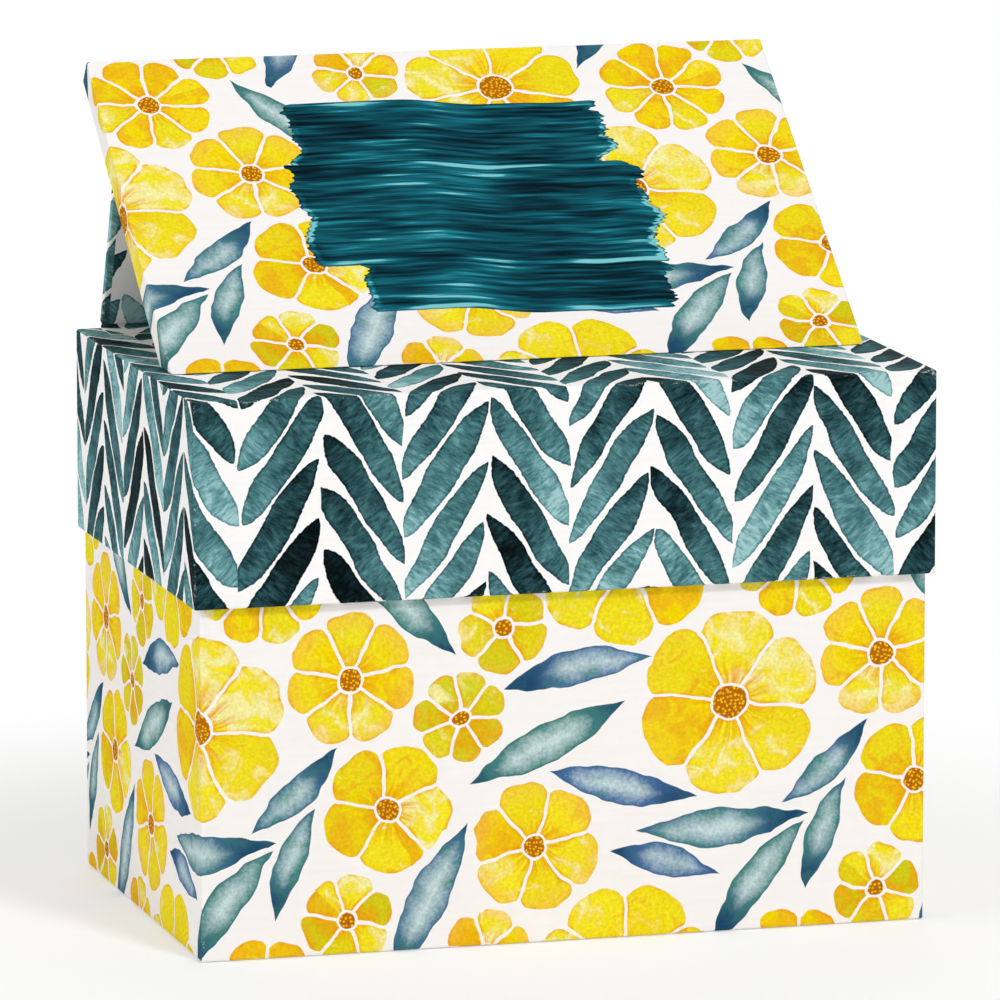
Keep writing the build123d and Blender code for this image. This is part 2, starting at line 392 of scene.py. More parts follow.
def crowding(index, discs):
    tileX, tileY = blossomPrint["tile"]
    total = 0.0
    for x0, y0, r0 in discs[index]:
        for x1, y1, r1 in (disc for other, row in enumerate(discs) if other != index for disc in row):
            dx = (x0 - x1 + tileX / 2) % tileX - tileX / 2
            dy = (y0 - y1 + tileY / 2) % tileY - tileY / 2
            short = blossomPrint["leastGap"] + r0 + r1 - math.hypot(dx, dy)
            total += max(short, 0.0) ** 2
    return total


def scatterMotifs():
    # throws the motifs on the repeat and shakes them apart until none crowds another
    p = blossomPrint
    rnd = random.Random(p["seed"])
    tileX, tileY = p["tile"]
    sizes = [(r, r) for r, count in p["blossoms"].items() for _ in range(count)]
    sizes += [size for size, count in p["leaves"].items() for _ in range(count)]
    motifs = [(rnd.uniform(0, tileX), rnd.uniform(0, tileY), a, b, rnd.uniform(0, math.pi)) for a, b in sizes]
    discs = [discsOf(*motif) for motif in motifs]
    first, last = p["throw"]
    for shake in range(p["shakes"]):
        step = first * (1 - shake / p["shakes"]) ** 2 + last
        for i, (x, y, a, b, turn) in enumerate(motifs):
            before = crowding(i, discs)
            if before == 0:
                continue
            moved = ((x + rnd.gauss(0, step)) % tileX, (y + rnd.gauss(0, step)) % tileY, a, b,
                     turn + rnd.gauss(0, step * p["turnPerThrow"]))
            kept, discs[i] = discs[i], discsOf(*moved)
            if crowding(i, discs) < before:
                motifs[i] = moved
            else:
                discs[i] = kept
    return motifs


def placeMotifs(add, place):
    # the motif at this spot: its own coordinates, and its petals, size and random number
    p = blossomPrint
    tileX, tileY = p["tile"]
    rnd = random.Random(p["seed"])
    local = facts = (0.0, 0.0, 0.0)
    for x, y, a, b, turn in scatterMotifs():
        away = add("VectorMath SUBTRACT", [place, (x, y, 0.0)])
        away = add("VectorMath WRAP", [away, (tileX / 2, tileY / 2, 1.0), (-tileX / 2, -tileY / 2, -1.0)])
        away = add("VectorRotate Z_AXIS", {"Vector": away, "Angle": -turn})
        shrink = (1 / a / p["drawnLarger"], 1 / b / p["drawnLarger"], 0.0)
        away = add("VectorMath MULTIPLY", [away, shrink])
        inside = add("Math LESS_THAN", [add("VectorMath LENGTH", [away]), 1.0])
        counts = p["petals"] if a > p["manyFrom"] else p["petals"][:-1]
        petals = float(rnd.choice(counts)) if a == b else 0.0
        local = add("Mix VECTOR", {0: inside, 4: local, 5: away})
        facts = add("Mix VECTOR", {0: inside, 4: facts, 5: (petals, b, rnd.random())})
    return add("SeparateXYZ", [local]), add("SeparateXYZ", [facts])


def wanderingPlace(add, start, perMm, detail, reach):
    # moves each place a little, so that an edge looks painted by hand
    wander = add("TexNoise 2D", {"Vector": start, "Scale": perMm, "Detail": detail, "Roughness": 0.5})
    wander = add("VectorMath SUBTRACT", [wander.outputs["Color"], (0.5, 0.5, 0.5)])
    return add("VectorMath MULTIPLY_ADD", [wander, (reach, reach, 0.0), start])


def paintBlossom(add, spot, facts, clouds):
    # rounded petals with a fine white gap between them, round a dotted eye
    p = blossomPrint
    x, y = spot.outputs[0], spot.outputs[1]
    petals, size, seed = facts.outputs[0], facts.outputs[1], facts.outputs[2]
    flat = add("CombineXYZ", [x, y])
    radius = add("VectorMath LENGTH", [flat])
    angle = add("Math ADD", [add("Math ARCTAN2", [y, x]), seed])
    sector = add("Math MULTIPLY", [angle, petals])
    sector = add("Math DIVIDE", [sector, 2 * math.pi])
    petal = add("Math FLOOR", [sector])
    signed = add("Math SUBTRACT", [add("Math FRACT", [sector]), 0.5])
    across = add("Math ABSOLUTE", [signed])
    chances = add("TexWhiteNoise", [add("CombineXYZ", [petal, seed, size])])
    chances = add("SeparateColor", [chances.outputs["Color"]])

    # a petal's end is nearly flat across and falls off at its corners, and some petals are longer
    bulge = add("Math POWER", [add("Math MULTIPLY", [across, 2.0]), 3.4])
    reach = add("Math MULTIPLY_ADD", [bulge, -0.19, 0.96])
    reach = add("Math MULTIPLY_ADD", [chances.outputs[1], 0.04, reach])
    rim = add("Math SUBTRACT", [reach, radius])
    rim = add("Math MULTIPLY", [rim, size])
    # distance to the line between two petals, less half the gap
    gap = add("Math SUBTRACT", [0.5, across])
    gap = add("Math MULTIPLY", [gap, 2 * math.pi])
    gap = add("Math SINE", [add("Math DIVIDE", [gap, petals])])
    gap = add("Math MULTIPLY", [add("Math MULTIPLY", [gap, radius]), size])
    gap = add("Math SUBTRACT", [gap, p["petalGap"]])
    edge = add("Math SMOOTH_MIN", [rim, gap, p["petalCorner"]])
    eye = add("Math SUBTRACT", [p["eyeRadius"], radius])
    eye = add("Math MULTIPLY", [eye, size])
    eyeRing = add("Math SUBTRACT", [add("Math ABSOLUTE", [eye]), p["eyeRing"]])
    inEye = add("Math GREATER_THAN", [eye, 0.0])
    petalEdge = add("Math SMOOTH_MIN", [edge, eyeRing, 0.2])
    edge = add("Mix FLOAT", [inEye, None, petalEdge, eyeRing])
    ink = add("MapRange SMOOTHSTEP", [edge, 0.0, p["inkEdge"], 0.0, 1.0])

    # amber at the heart and where the wash pools at a petal's edge, pale where water pushed it away
    heart = add("MapRange SMOOTHSTEP", [radius, 0.16, 0.62, 0.85, 0.0])
    veins = add("CombineXYZ", [add("Math MULTIPLY", [signed, 9.0]),
                               add("Math MULTIPLY", [radius, 1.1]), petal])
    veins = add("TexNoise", {"Vector": veins, "Scale": 1.6, "Detail": 2.0})
    veins = add("MapRange", [veins, 0.38, 0.66, 0.0, 1.15])
    heart = add("Math MULTIPLY", [heart, veins], use_clamp=True)
    pooled = add("MapRange SMOOTHSTEP", [edge, 0.05, 1.0, 0.75, 0.0])
    pooled = add("Math MULTIPLY", [pooled, add("MapRange", [clouds, 0.4, 0.62, 0.05, 1.1])], use_clamp=True)
    washed = add("Math MULTIPLY", [clouds, 0.9])
    washed = add("Math MULTIPLY_ADD", [chances.outputs[0], 0.5, washed])
    golden = add("MapRange SMOOTHSTEP", [washed, 0.7, 0.96, 0.0, 0.62])
    pale = add("MapRange SMOOTHSTEP", [washed, 0.58, 0.36, 0.0, 0.95])
    fringe = add("MapRange SMOOTHSTEP", [radius, 0.62, 0.95, 0.0, 1.0])
    fringe = add("Math MULTIPLY", [fringe, add("MapRange", [seed, 0.5, 0.9, 0.0, 0.5])])
    isSmall = add("MapRange", [size, 10.0, 14.5, 1.0, 0.25])
    green = add("MapRange", [chances.outputs[2], 0.2, 0.9, 0.1, 0.75])
    green = add("Math MULTIPLY", [isSmall, green])
    light = add("MapRange", [clouds, 0.35, 0.62, 0.0, 1.0])
    dots = add("VectorMath MULTIPLY", [flat, size])
    dots = add("TexVoronoi 2D", {"Vector": dots, "Scale": p["eyeDotsPerMm"]})
    dots = add("MapRange", [dots, 0.34, 0.22, 0.0, 1.0])
    eyeColour = layWashes(add, p["eye"], (dots, p["eyeDots"]))
    colour = layWashes(add, p["fullYellow"], (light, p["lightYellow"]), (green, p["lime"]),
                       (golden, p["amber"]), (pale, p["palePatch"]), (fringe, p["peach"]),
                       (pooled, p["amber"]), (heart, p["amber"]), (inEye, eyeColour))
    return colour, ink


def paintLeaf(add, spot, facts, clouds, grains):
    # a bent, pointed dab: deep at its tips and rim, nearly white in its belly
    p = blossomPrint
    x, y = spot.outputs[0], spot.outputs[1]
    size, seed = facts.outputs[1], facts.outputs[2]
    swell = add("Math MULTIPLY_ADD", [add("Math MULTIPLY", [x, x]), -1.0, 1.0], use_clamp=True)
    bend = add("MapRange", [seed, 0.0, 1.0, -p["leafBend"], p["leafBend"]])
    side = add("Math SUBTRACT", [y, add("Math MULTIPLY", [bend, swell])])
    width = add("Math MULTIPLY", [add("Math POWER", [swell, 1.15]), 0.7])
    edge = add("Math SUBTRACT", [width, add("Math ABSOLUTE", [side])])
    edge = add("Math MULTIPLY", [edge, size])
    ink = add("MapRange SMOOTHSTEP", [edge, 0.0, p["leafEdge"], 0.0, 1.0])

    rim = add("MapRange SMOOTHSTEP", [edge, 0.05, 0.8, 0.5, 0.0])
    tips = add("Math ADD", [x, add("MapRange", [seed, 0.0, 1.0, 0.35, -0.35])])
    tips = add("Math ABSOLUTE", [tips])
    tips = add("MapRange SMOOTHSTEP", [tips, 0.35, 1.05, 0.0, 1.0])
    mottled = add("Math MULTIPLY_ADD", [grains, 0.55, clouds])
    belly = add("Math MULTIPLY_ADD", [edge, 0.3, mottled])
    belly = add("Math SUBTRACT", [belly, add("Math MULTIPLY", [tips, 1.1])])
    belly = add("MapRange", [belly, 0.82, 2.0, 0.0, 0.97])
    hue = add("Math FRACT", [add("Math MULTIPLY", [seed, 3.7])])
    hue = add("MapRange", [add("Math ADD", [hue, clouds]), 0.75, 1.3, 0.0, 1.0])
    deep = add("Math MAXIMUM", [tips, rim])
    deep = add("Math MULTIPLY", [deep, add("MapRange", [mottled, 0.6, 0.95, 0.7, 1.05])], use_clamp=True)
    colour = layWashes(add, p["leafTeal"], (hue, p["leafBlue"]), (belly, p["leafPale"]), (deep, p["leafTip"]))
    return colour, ink


def makeBlossomPrint():
    p = blossomPrint
    tree, add, start = newPrint("blossomPrint")
    place = wanderingPlace(add, start, p["wandersPerMm"], 1.5, p["wander"])
    spot, facts = placeMotifs(add, place)
    # watercolour: pigment settles in clouds, with fine grains in them
    clouds = add("TexNoise 2D", {"Vector": place, "Scale": p["cloudsPerMm"], "Detail": 3.0, "Roughness": 0.55,
                                 "Distortion": 0.6})
    grains = add("TexNoise 2D", {"Vector": start, "Scale": p["grainsPerMm"], "Detail": 2.0, "Roughness": 0.7})
    blossomColour, blossomInk = paintBlossom(add, spot, facts, clouds)
    leafColour, leafInk = paintLeaf(add, spot, facts, clouds, grains)
    isLeaf = add("Math LESS_THAN", [facts.outputs[0], 0.5])
    hasMotif = add("Math GREATER_THAN", [facts.outputs[1], 0.1])
    colour = layWashes(add, blossomColour, (isLeaf, leafColour))
    grainy = add("MapRange", [grains, 0.3, 0.7, 0.9, 1.07])
    colour = add("VectorMath MULTIPLY", [colour, grainy])
    ink = add("Mix FLOAT", [isLeaf, None, blossomInk, leafInk])
    ink = add("Math MULTIPLY", [ink, hasMotif])
    add("NodeGroupOutput", [colour, ink])
    return tree


# a herringbone of brush dabs

dabPrint = {
    "columnWidth": 19.0,
    "rise": 1.6,  # how far a dab climbs for each millimetre across its column
    "pitch": 13.4,  # from dab to dab up the column
    "halfWidth": 3.3,
    "unevenWidth": 0.6,  # how much the half widths differ
    "unevenEnds": 3.0,  # how far dabs slide along their own length
    "bow": 0.022,  # how far a dab's end sags for each square millimetre from its middle
    "inkEdge": 0.16,
    "wander": 2.8,
    "wandersPerMm": 0.07,
    "teeth": 0.55,  # how deep the paper's grain bites into a dab's edge
    "teethPerMm": 0.8,
    "cloudsPerMm": 0.14,
    "stripesPerMm": 1.4,
    "tones": {0.0: "#050d0f", 0.22: "#10262a", 0.45: "#294e53", 0.68: "#4b7b80", 0.85: "#71a3a7",
              1.0: "#a2c9cb"},
}


def makeDabPrint():
    p = dabPrint
    tree, add, start = newPrint("brushDabPrint")
    place = wanderingPlace(add, start, p["wandersPerMm"], 1.0, p["wander"])
    spot = add("SeparateXYZ", [place])
    column = add("Math DIVIDE", [spot.outputs[0], p["columnWidth"]])
    columnNumber = add("Math FLOOR", [column])
    along = add("Math SUBTRACT", [add("Math FRACT", [column]), 0.5])
    along = add("Math MULTIPLY", [along, p["columnWidth"]])
    # neighbouring columns lean opposite ways, which makes the herringbone
    lean = add("Math FLOORED_MODULO", [columnNumber, 2.0])
    lean = add("Math MULTIPLY_ADD", [lean, 2.0, -1.0])
    climb = add("Math MULTIPLY", [along, lean])
    climb = add("Math MULTIPLY_ADD", [climb, p["rise"], spot.outputs[1]])
    shift = add("TexWhiteNoise", [add("CombineXYZ", [columnNumber])])
    bow = add("MapRange", [shift, 0.0, 1.0, -p["bow"], p["bow"]])
    squared = add("Math MULTIPLY", [along, along])
    row = add("Math MULTIPLY_ADD", [bow, squared, climb])
    row = add("Math DIVIDE", [row, p["pitch"]])
    row = add("Math ADD", [row, shift])
    rowNumber = add("Math FLOOR", [row])

    # across the dab and along it, in millimetres from its middle
    norm = math.hypot(1.0, p["rise"])
    across = add("Math SUBTRACT", [add("Math FRACT", [row]), 0.5])
    across = add("Math MULTIPLY", [across, p["pitch"] / norm])
    sheared = add("Math MULTIPLY", [across, lean])
    sheared = add("Math MULTIPLY", [sheared, -p["rise"]])
    length = add("Math MULTIPLY_ADD", [along, norm, sheared])
    chances = add("TexWhiteNoise", [add("CombineXYZ", [columnNumber, rowNumber, 7.0])])
    chances = add("SeparateColor", [chances.outputs["Color"]])
    slide = add("Math MULTIPLY_ADD", [chances.outputs[0], p["unevenEnds"], -p["unevenEnds"] / 2])
    reach = add("Math ADD", [length, slide])
    reach = add("Math DIVIDE", [reach, p["columnWidth"] * norm / 2])
    taper = add("Math POWER", [add("Math ABSOLUTE", [reach]), 2.9])
    taper = add("Math SUBTRACT", [1.0, taper], use_clamp=True)
    taper = add("Math POWER", [taper, 0.72])
    thinnest = p["halfWidth"] - p["unevenWidth"] / 2
    halfWidth = add("Math MULTIPLY_ADD", [chances.outputs[1], p["unevenWidth"], thinnest])
    edge = add("Math MULTIPLY", [halfWidth, taper])
    edge = add("Math SUBTRACT", [edge, add("Math ABSOLUTE", [across])])
    teeth = add("TexNoise 2D", {"Vector": start, "Scale": p["teethPerMm"], "Detail": 2.0})
    teeth = add("Math SUBTRACT", [teeth, 0.5])
    edge = add("Math MULTIPLY_ADD", [teeth, p["teeth"], edge])
    ink = add("MapRange SMOOTHSTEP", [edge, 0.0, p["inkEdge"], 0.0, 1.0])

    # each dab runs from a lighter to a deeper end, and dries in fine stripes across its length
    clouds = add("TexNoise 2D", {"Vector": place, "Scale": p["cloudsPerMm"], "Detail": 2.0})
    stripes = add("CombineXYZ", [length, add("Math MULTIPLY", [across, 0.3]), rowNumber])
    stripes = add("TexNoise", {"Vector": stripes, "Scale": p["stripesPerMm"], "Detail": 3.0,
                               "Roughness": 0.7})
    rim = add("MapRange SMOOTHSTEP", [edge, 0.1, 0.8, 0.2, 0.0])
    tone = add("Math MULTIPLY_ADD", [clouds, 0.5, -0.46])
    tone = add("Math MULTIPLY_ADD", [chances.outputs[2], 0.66, tone])
    tone = add("Math MULTIPLY_ADD", [add("Math MULTIPLY", [reach, lean]), 0.2, tone])
    tone = add("Math MULTIPLY_ADD", [stripes, 0.85, tone])
    tone = add("Math SUBTRACT", [tone, rim])
    add("NodeGroupOutput", [add("ValToRGB", [tone], stops=p["tones"]), ink])
    return tree


# a plaque of three broad brush strokes

plaquePrint = {
    "strokes": (  # height up the panel, half width, left end and right end, each laid over those before it
        (70.0, 13.5, -38.0, 37.0),
        (27.0, 11.5, -31.0, 40.0),
        (47.0, 16.5, -41.0, 42.0),
    ),
    "slope": -0.035,
    "swing": 5.0,  # how far a stroke sways on its way
    "swingsPerMm": 0.03,
    "fraying": (9.0, 2.2),  # how ragged the ends are, in broad tufts and in single bristles
    "tuftsPerMm": 0.12,
    "bristlesPerMm": 0.9,
    "rightFraying": 1.5,  # the right ends, where the brush was lifted, are this much more ragged
    "corner": 2.5,
    "inkEdge": 0.16,
    "bead": 1.0,  # how far inside a stroke's edge the bead of paint has its crest
    "beadReach": 0.9,
    "tones": {0.0: "#02161e", 0.25: "#06303c", 0.5: "#0c4b58", 0.72: "#156776", 0.88: "#268a98",
              1.0: "#7cc6cd"},
}


def makePlaquePrint():
    p = plaquePrint
    tree, add, start = newPrint("brushedPlaque")
    spot = add("SeparateXYZ", [start])
    x, y = spot.outputs[0], spot.outputs[1]
    swing = add("TexNoise 1D", {"W": x, "Scale": p["swingsPerMm"], "Detail": 1.0})
    level = add("Math MULTIPLY_ADD", [x, -p["slope"], y])
    level = add("Math SUBTRACT", [level, p["swing"] / 2])
    level = add("Math MULTIPLY_ADD", [swing, p["swing"], level])
    tufts = add("TexNoise 1D", {"W": level, "Scale": p["tuftsPerMm"], "Detail": 1.0})
    bristle = add("TexNoise 1D", {"W": level, "Scale": p["bristlesPerMm"], "Detail": 2.0})
    frayed = add("Math MULTIPLY_ADD", [bristle, p["fraying"][1], -sum(p["fraying"]) / 2])
    frayed = add("Math MULTIPLY_ADD", [tufts, p["fraying"][0], frayed])
    number, cover, bead = 0.0, 0.0, 0.0
    for i, (height, halfWidth, left, right) in enumerate(p["strokes"]):
        away = add("Math ABSOLUTE", [add("Math SUBTRACT", [level, height])])
        inset = add("Math SUBTRACT", [halfWidth, away])
        leftEnd = add("Math ADD", [add("Math SUBTRACT", [x, left]), frayed])
        rightEnd = add("Math SUBTRACT", [right, x])
        rightEnd = add("Math MULTIPLY_ADD", [frayed, -p["rightFraying"], rightEnd])
        for end in (leftEnd, rightEnd):
            inset = add("Math SMOOTH_MIN", [inset, end, p["corner"]])
        painted = add("MapRange SMOOTHSTEP", [inset, 0.0, p["inkEdge"], 0.0, 1.0])
        # paint is pushed into a bead along a stroke's edge: a light crest with a dark foot outside it
        crest = add("Math SUBTRACT", [inset, p["bead"]])
        crest = add("Math DIVIDE", [crest, p["beadReach"]])
        crest = add("Math MULTIPLY_ADD", [add("Math MULTIPLY", [crest, crest]), -1.0, 1.0], use_clamp=True)
        foot = add("MapRange SMOOTHSTEP", [inset, 0.0, 0.55, 0.75, 0.0])
        crest = add("Math SUBTRACT", [crest, foot])
        number = add("Mix FLOAT", [painted, None, number, float(i)])
        cover = add("Math MAXIMUM", [cover, painted])
        bead = add("Mix FLOAT", [painted, None, bead, crest])

    # bristle marks run the length of a stroke: fine streaks, ridges between them and broad bands of load
    marks = add("CombineXYZ", [add("Math MULTIPLY", [x, 0.022]),
                               add("Math MULTIPLY", [level, 0.5]), number])
    streaks = add("TexNoise", {"Vector": marks, "Scale": 1.0, "Detail": 4.0, "Roughness": 0.6,
                               "Distortion": 0.15})
    ridges = add("VectorMath MULTIPLY", [marks, (3.2, 2.1, 1.7)])
    ridges = add("TexNoise", {"Vector": ridges, "Scale": 1.0, "Detail": 1.5, "Roughness": 0.5})
    broad = add("VectorMath MULTIPLY", [marks, (1.6, 0.12, 3.1)])
    broad = add("TexNoise", {"Vector": broad, "Scale": 1.0, "Detail": 1.0})
    uneven = add("MapRange", [broad, 0.38, 0.62, 0.08, 0.62])
    tone = add("Math MULTIPLY_ADD", [streaks, 1.4, -1.64])
    tone = add("Math MULTIPLY_ADD", [ridges, 1.5, tone])
    tone = add("Math MULTIPLY_ADD", [broad, 1.25, tone])
    tone = add("Math MULTIPLY_ADD", [bead, uneven, tone])
    add("NodeGroupOutput", [add("ValToRGB", [tone], stops=p["tones"]), cover])
    return tree


print("prints: layout and node groups")
blossoms = makeBlossomPrint()
dabs = makeDabPrint()
plaque = makePlaquePrint()


# matt art paper, offset printed: soft white between full, dry colours, with no gloss of its own

paperFinish = {
    "blossomPaper": "#f8f4f2",
    "dabPaper": "#faf9f8",
    "core": "#efebe3",
    "roughness": 0.78,
    "specular": 0.03,
    "lineSpacing": 1.1,  # between the laid lines; real ones are finer, but would not show
    "mottlesPerMm": 0.45,
    "relief": 0.04,
    "cracksPerMm": 0.9,  # real cracks are finer too
    "patchesPerMm": 0.06,  # how often worn and sound stretches of a fold take turns
}


def printedPaper(name, bareColour, *prints):
    material, add = newMaterial(name)
    p = paperFinish
    place = add("UVMap", uv_map="printMm")
    # laid paper: faint lines across the sheet and a soft mottle
    stretched = add("VectorMath MULTIPLY", [place, (0.05, 1 / p["lineSpacing"], 0.0)])
    laid = add("TexNoise 2D", {"Vector": stretched, "Scale": 1.0, "Detail": 3.0, "Roughness": 0.6})
    mottle = add("TexNoise 2D", {"Vector": place, "Scale": p["mottlesPerMm"], "Detail": 4.0,
                                 "Roughness": 0.65})
    shade = add("Math MULTIPLY_ADD", [laid, 0.05, 0.955])
    shade = add("Math MULTIPLY_ADD", [mottle, 0.03, shade])
    colour = add("VectorMath MULTIPLY", [srgb(bareColour)[:3], shade])
    for group in prints:
        drawn = add("Group", [place], node_tree=group)
        colour = layWashes(add, colour, (drawn.outputs["Ink"], drawn.outputs["Colour"]))
    # the print cracks a little along the folds and shows the white core
    worn = add("Attribute", attribute_name="wear")
    cracks = add("TexNoise 2D", {"Vector": place, "Scale": p["cracksPerMm"], "Detail": 5.0,
                                 "Roughness": 0.75})
    patches = add("TexNoise 2D", {"Vector": place, "Scale": p["patchesPerMm"], "Detail": 1.0})
    patches = add("Math SUBTRACT", [patches, 0.5])
    cracks = add("Math MULTIPLY_ADD", [patches, 0.5, cracks])
    fold = add("Math POWER", [worn.outputs["Fac"], 3.0])
    cracks = add("Math MULTIPLY_ADD", [fold, 0.24, cracks])
    cracks = add("MapRange SMOOTHSTEP", [cracks, 0.84, 1.02, 0.0, 0.5])
    colour = layWashes(add, colour, (cracks, p["core"]))
    bump = add("Bump", {"Height": laid, "Strength": 0.35, "Distance": p["relief"] * mm})
    gloss = add("MapRange", [mottle, 0.3, 0.7, p["roughness"] - 0.05, p["roughness"] + 0.06])
    shader = add("BsdfPrincipled", {"Base Color": colour, "Roughness": gloss, "Normal": bump,
                                    "Specular IOR Level": p["specular"]})
    add("OutputMaterial", [shader])
    return material


# papers and boards without print: short fibres pressed flat, seen as flecks of two tones, which are drawn
# coarser than real fibres because those would not show

fibrePapers = {  # light tone, dark tone, size of a fleck, contrast, roughness, relief
    # the cut edge of the printed paper: its dull white core
    "cutPaperEdge": ("#f6f3ec", "#dcd6ca", 0.5, 0.4, 0.75, 0.05),
    # woodfree lining paper, uncoated: dull and slightly warm
    "uncoatedLiningPaper": ("#f8f5ef", "#ece7dd", 1.4, 0.45, 0.8, 0.05),
    # greyboard pressed from recycled pulp: flecked grey-brown and dry
    "recycledGreyboard": ("#b1a99d", "#877f73", 0.8, 0.6, 0.88, 0.12),
    # gummed kraft tape, smoothed in rolling: brown, a little less dull than the board
    "gummedKraftTape": ("#c79a63", "#a67a48", 1.1, 0.5, 0.6, 0.05),
}


def fibrePaper(name, light, dark, fleck, contrast, roughness, relief):
    material, add = newMaterial(name)
    place = add("VectorMath MULTIPLY", [add("TexCoord").outputs["Object"], (1 / mm, 1 / mm, 1 / mm)])
    fibres = add("TexNoise", {"Vector": place, "Scale": 1 / fleck, "Detail": 5.0, "Roughness": 0.68,
                              "Distortion": 1.2})
    clouds = add("TexNoise", {"Vector": place, "Scale": 0.06, "Detail": 3.0, "Roughness": 0.6})
    blend = add("Math MULTIPLY_ADD", [clouds, 0.4, fibres])
    blend = add("MapRange", [blend, 0.5, 0.95, 0.5 - contrast, 0.5 + contrast])
    gloss = add("MapRange", [fibres, 0.3, 0.7, roughness - 0.06, roughness + 0.06])
    bump = add("Bump", {"Height": fibres, "Strength": 0.5, "Distance": relief * mm})
    shader = add("BsdfPrincipled", {"Base Color": layWashes(add, dark, (blend, light)), "Roughness": gloss,
                                    "Normal": bump, "Specular IOR Level": 0.3})
    add("OutputMaterial", [shader])
    return material


# bright nickel plate on a sintered magnet: soft reflections under fine scuffs, drawn coarser than real ones

nickelFinish = {"light": "#dedad2", "dark": "#c9c5bd", "roughness": (0.22, 0.4), "scuffsPerMm": 0.9}


def nickelPlate(name):
    material, add = newMaterial(name)
    p = nickelFinish
    place = add("TexCoord").outputs["Object"]
    scuffs = add("TexNoise", {"Vector": place, "Scale": p["scuffsPerMm"] / mm, "Detail": 4.0})
    gloss = add("MapRange", [scuffs, 0.3, 0.7, *p["roughness"]])
    colour = layWashes(add, p["dark"], (scuffs, p["light"]))
    shader = add("BsdfPrincipled", {"Base Color": colour, "Roughness": gloss, "Metallic": 1.0})
    add("OutputMaterial", [shader])
    return material


print("materials")
blossomPaper = printedPaper("printedArtPaperBlossoms", paperFinish["blossomPaper"], blossoms)
panelPaper = printedPaper("printedArtPaperPlaque", paperFinish["blossomPaper"], blossoms, plaque)
dabPaper = printedPaper("printedArtPaperDabs", paperFinish["dabPaper"], dabs)
cutPaper, liningPaper, greyboard, kraftTape = [fibrePaper(name, *look) for name, look in fibrePapers.items()]
magnetPlate = nickelPlate("nickelPlatedMagnet")


# the box body's wrap: one sheet round the four walls

boxWrap = {
    "rim": 2.0,  # the wall that it goes over
    "turnIn": 15.0,  # down inside the rim
    "turnUnder": 12.0,  # under the base
    "foldRadius": 0.5,
    "lap": 12.0,  # width of the glued lap at the back
    "lapStep": 0.2,  # over this width the sheet steps down from the lap
    "lapProud": 0.14,
}


def makeBoxWrap():
    p = boxWrap
    low, high = boxCorners("body_wrap")
    lapEnd = low.x + p["lap"]
    bm = startBlock(low, high)
    sunk, _ = extrudeEdges(bm, openFace(bm, faceTowards(bm, (0, 0, 1)), p["rim"]))
    bmesh.ops.translate(bm, vec=(0, 0, -p["turnIn"]), verts=sunk)
    openFace(bm, faceTowards(bm, (0, 0, -1)), p["turnUnder"])
    roundFolds(bm, p["foldRadius"])
    cutAcross(bm, "x", (lapEnd, lapEnd + p["lapStep"]))
    cutBesideFolds(bm, low, high)
    # the sheet's end laps over its start at the back, so it stands nearly a sheet's thickness proud there
    for vert in bm.verts:
        if vert.co.y > high.y - touch and vert.co.x < lapEnd + p["lapStep"] / 2:
            vert.co.y += p["lapProud"]

    def unwrap(co, centre, normal):
        # u goes round the walls from the middle of the front, v goes up, over the rim and down inside
        toSide, toEnd = high.x - abs(centre.x), high.y - abs(centre.y)
        sideways = toSide < toEnd
        inset = high.x - abs(co.x) if sideways else high.y - abs(co.y)
        if abs(normal.z) > facing:
            v = high.z + inset if centre.z > high.z / 2 else low.z - inset
        else:
            v = 2 * high.z + p["rim"] - co.z if min(toSide, toEnd) > p["rim"] / 2 else co.z
        if sideways:
            return (math.copysign(high.x + high.y + co.y, centre.x), v)
        if centre.y < 0:
            return (co.x, v)
        halfRound = 2 * (high.x + high.y)
        return ((-halfRound if centre.x < lapEnd else halfRound) - co.x, v)

    def isWorn(co):
        # along the outer folds, and along the fold where the sheet turns down inside the rim
        inwards = min(high.x - abs(co.x), high.y - abs(co.y))
        innerFold = max(high.z - co.z, p["rim"] - inwards) < paper["foldWear"]
        return onFold(co, low, high) or innerFold

    markPrint(bm, unwrap, isWorn)
    newPiece("boxWrap", bm, "box", blossomPaper, ["body_wrap"], "floral_paper")


makeBoxWrap()
print("box wrap")


# the lid's wrap: a cross over the top, the skirt and the skirt's inside

lidWrap = {
    "skirtWall": 1.5,  # thickness of the skirt that it goes round
    "turnIn": 15.0,  # up inside the skirt
    "mitre": 1.0,  # how far the turned-in edge is held back from the skirt's ends
    "topEdge": 1.9,  # the back edge of the top board, which it covers
    "foldRadius": 0.5,
}


